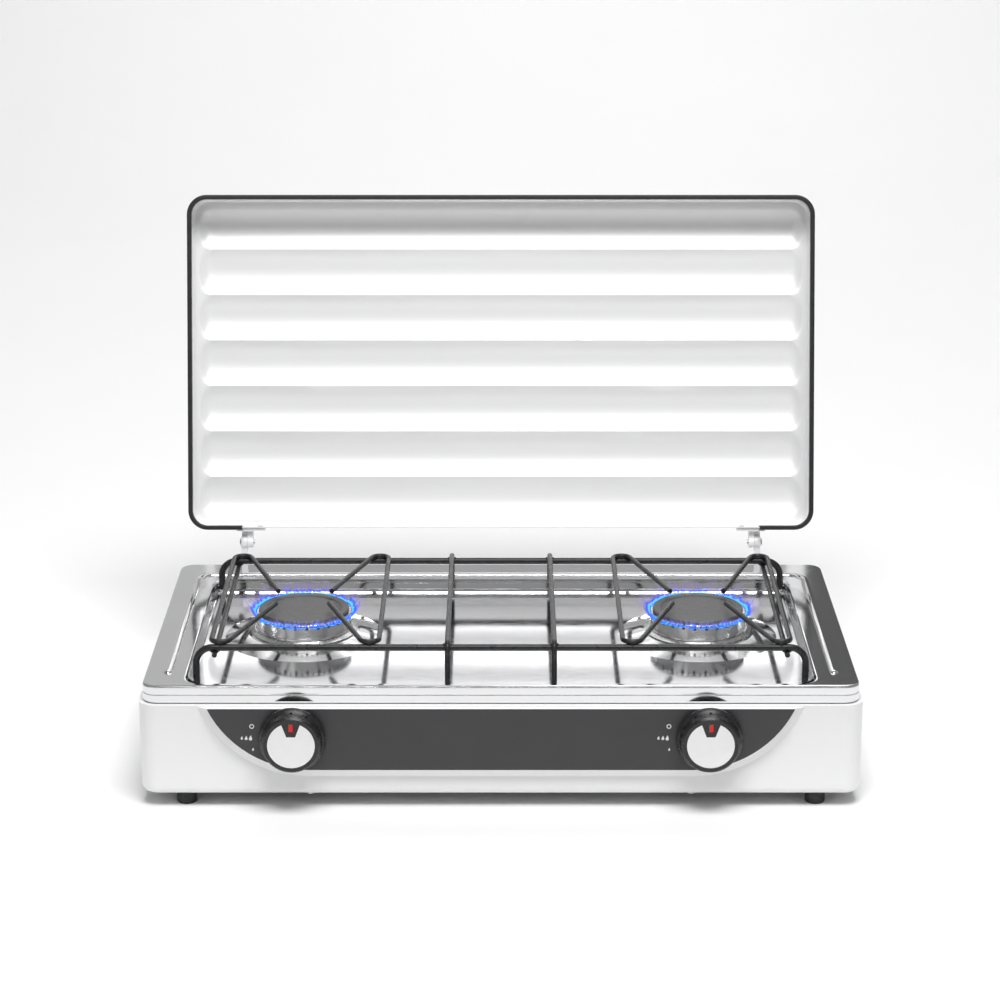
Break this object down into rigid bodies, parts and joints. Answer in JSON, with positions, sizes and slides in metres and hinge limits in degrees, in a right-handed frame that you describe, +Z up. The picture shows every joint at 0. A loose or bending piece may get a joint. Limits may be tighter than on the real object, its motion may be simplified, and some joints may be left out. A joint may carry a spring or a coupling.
{
  "type": "camping stove",
  "caption": "Two-burner table-top gas stove with a white housing, mirror-steel hob, black wire pan supports, push-and-turn knobs and a ribbed lid on rear hinges.",
  "frame": {"origin": "on the standing plane, under the centre of the hob plate", "axes": "+X to the cook's right along the longest side, +Y away from the cook, +Z up"},
  "size_m": [0.566, 0.4244, 0.4167],
  "materials": {
    "white_enamel": "satin",
    "polished_steel": "polished",
    "dark_panel": "satin",
    "black_enamel": "gloss",
    "cap_enamel": "matte",
    "cast_aluminium": "satin",
    "galvanised_steel": "satin",
    "zinc_steel": "satin",
    "brass": "satin",
    "black_rubber": "matte",
    "black_trim": "matte",
    "knob_black": "satin",
    "knob_white": "satin",
    "knob_red": "satin",
    "white_ink": "matte"
  },
  "bodies": {
    "stove": {"housing": "white_enamel", "control_panel": "dark_panel", "dial_marks_left": "white_ink", "dial_marks_right": "white_ink", "base_plate": "galvanised_steel", "base_screws": "zinc_steel", "foot_front_left": "black_rubber", "foot_front_right": "black_rubber", "foot_rear_left": "black_rubber", "foot_rear_right": "black_rubber", "hob_plate": "polished_steel", "burner_cup_left": "cast_aluminium", "burner_cup_right": "cast_aluminium", "mixer_tube_left": "cast_aluminium", "mixer_tube_right": "cast_aluminium", "flame_ring_left": "cast_aluminium", "flame_ring_right": "cast_aluminium", "burner_cap_left": "cap_enamel", "burner_cap_right": "cap_enamel", "valve_body_left": "brass", "valve_body_right": "brass", "gas_jet_left": "brass", "gas_jet_right": "brass", "manifold_pipe": "galvanised_steel", "inlet_pipe": "galvanised_steel", "inlet_nut": "brass", "hose_nozzle": "brass", "hinge_post_left": "white_enamel", "hinge_post_right": "white_enamel", "hinge_screws": "zinc_steel", "hinge_pin_left": "zinc_steel", "hinge_pin_right": "zinc_steel"},
    "lid": {"lid_shell": "white_enamel", "lid_edge_trim": "black_trim", "hinge_leaf_left": "white_enamel", "hinge_leaf_right": "white_enamel", "leaf_rivets": "zinc_steel"},
    "grate": {"grate_front_rail": "black_enamel", "grate_rear_rail": "black_enamel", "grate_side_rods": "black_enamel", "grate_cross_wires": "black_enamel", "pan_support_outer_left": "black_enamel", "pan_support_inner_left": "black_enamel", "pan_support_inner_right": "black_enamel", "pan_support_outer_right": "black_enamel"},
    "tap_left": {"gas_plug_left": "brass", "return_spring_left": "zinc_steel"},
    "dial_left": {"spindle_left": "zinc_steel", "knob_left": "knob_black", "knob_face_left": "knob_white", "knob_pointer_left": "knob_red"},
    "tap_right": {"gas_plug_right": "brass", "return_spring_right": "zinc_steel"},
    "dial_right": {"spindle_right": "zinc_steel", "knob_right": "knob_black", "knob_face_right": "knob_white", "knob_pointer_right": "knob_red"}
  },
  "joints": [
    {"name": "lid_hinge", "type": "hinge", "parent": "stove", "child": "lid", "pos_m": [0, 0.157, 0.1195], "axis": [1, 0, 0], "range_deg": [0, 104.4]},
    {"name": "grate_lift", "type": "slide", "parent": "stove", "child": "grate", "axis": [0, 0, -1], "range_m": [-0.06, 0]},
    {"name": "knob_left_turn", "type": "hinge", "parent": "stove", "child": "tap_left", "pos_m": [-0.162, -0.16, 0.062], "axis": [0, -1, 0], "range_deg": [0, 130]},
    {"name": "knob_right_turn", "type": "hinge", "parent": "stove", "child": "tap_right", "pos_m": [0.162, -0.16, 0.062], "axis": [0, -1, 0], "range_deg": [0, 130]},
    {"name": "knob_left_push", "type": "slide", "parent": "tap_left", "child": "dial_left", "axis": [0, 1, 0], "range_m": [0, 0.0025], "stiffness_N_per_m": 1500, "springref_m": -0.003, "deforming": ["return_spring_left"]},
    {"name": "knob_right_push", "type": "slide", "parent": "tap_right", "child": "dial_right", "axis": [0, 1, 0], "range_m": [0, 0.0025], "stiffness_N_per_m": 1500, "springref_m": -0.003, "deforming": ["return_spring_right"]}
  ]
}
